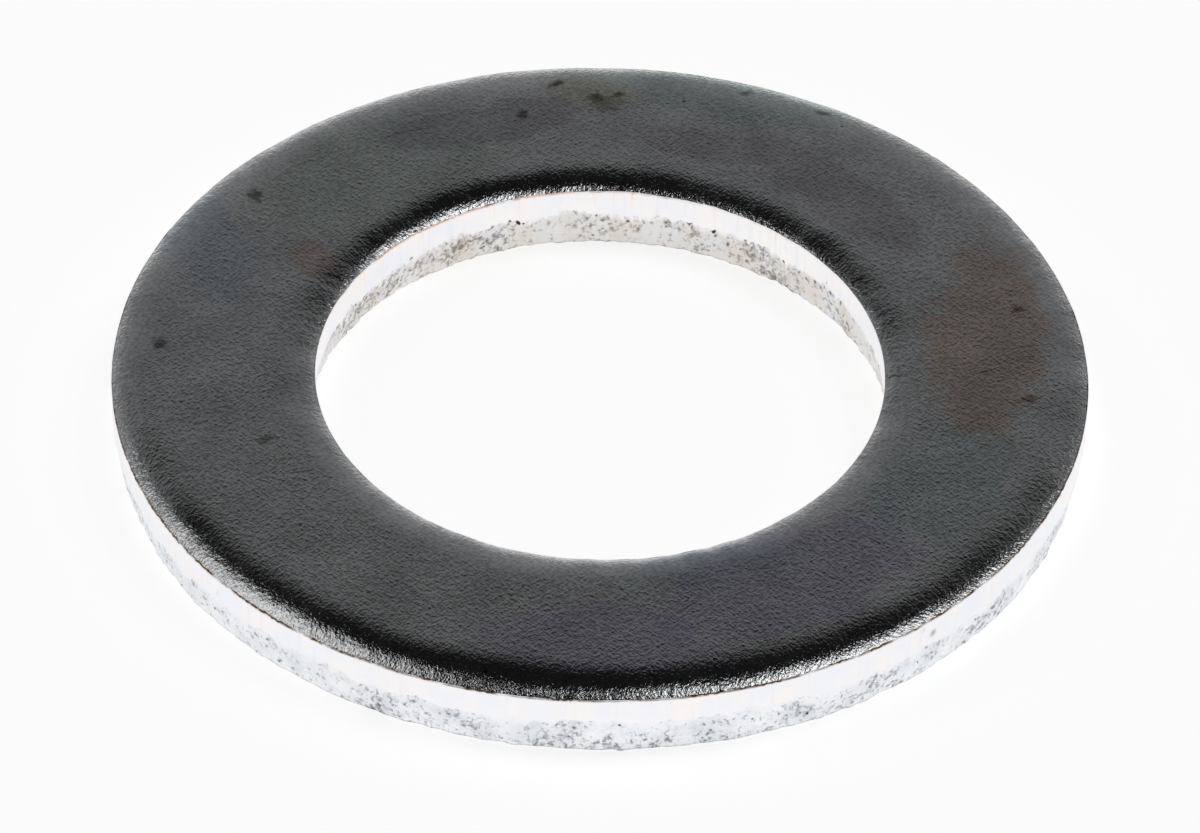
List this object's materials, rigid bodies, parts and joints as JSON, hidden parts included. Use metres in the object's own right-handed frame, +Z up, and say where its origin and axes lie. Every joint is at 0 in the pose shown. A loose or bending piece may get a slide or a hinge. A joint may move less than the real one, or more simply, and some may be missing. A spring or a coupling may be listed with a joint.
{
  "type": "flat washer",
  "caption": "Plain flat washer: a stamped, zinc-plated steel ring with rounded-over top edges, burnished and torn cut walls, and a clearance hole for a bolt.",
  "frame": {"origin": "centre of the bottom face, on the bore's axis, where the washer rests on a flat surface", "axes": "+Z up along the bore's axis, towards the face with the rounded-over edges; the shape is the same all the way round, so +X and +Y are any two radial directions"},
  "size_m": [0.0364, 0.0364, 0.003],
  "materials": {
    "zinc_plated_steel": "bright electroplated zinc over pressed strip: leathery rolled grain on the faces, burnished and torn bands on the cut walls, faint stains"
  },
  "bodies": {
    "root": {"flat_washer": "zinc_plated_steel"}
  },
  "joints": []
}
